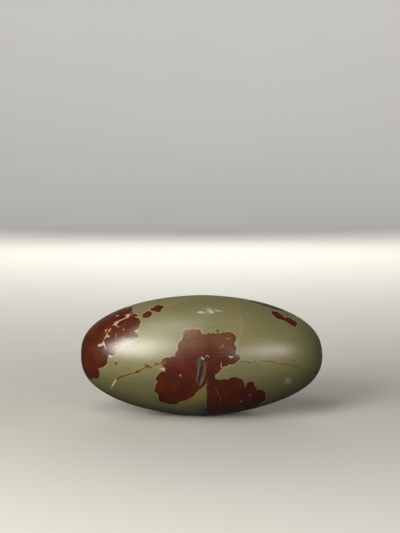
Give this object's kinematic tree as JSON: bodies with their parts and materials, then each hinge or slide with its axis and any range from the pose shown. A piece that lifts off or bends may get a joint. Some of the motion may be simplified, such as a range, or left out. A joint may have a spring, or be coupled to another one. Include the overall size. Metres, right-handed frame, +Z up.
{
  "type": "shiva lingam stone",
  "caption": "Smooth egg-shaped river stone, polished olive and brick-red, that lies on a small flat spot.",
  "frame": {"origin": "middle of the stone's footprint, at the level of the flat spot that it rests on", "axes": "+X runs along the stone, to the right as seen from the front; -Y is the front, with the long hollow; +Z is up"},
  "size_m": [0.2402, 0.1171, 0.1189],
  "materials": {
    "polished_stone": "Satin-polished cryptocrystalline quartz: olive-tan ground with brick-red patches, pale veins and fine level striations"
  },
  "bodies": {
    "root": {"stone": "polished_stone"}
  },
  "joints": []
}
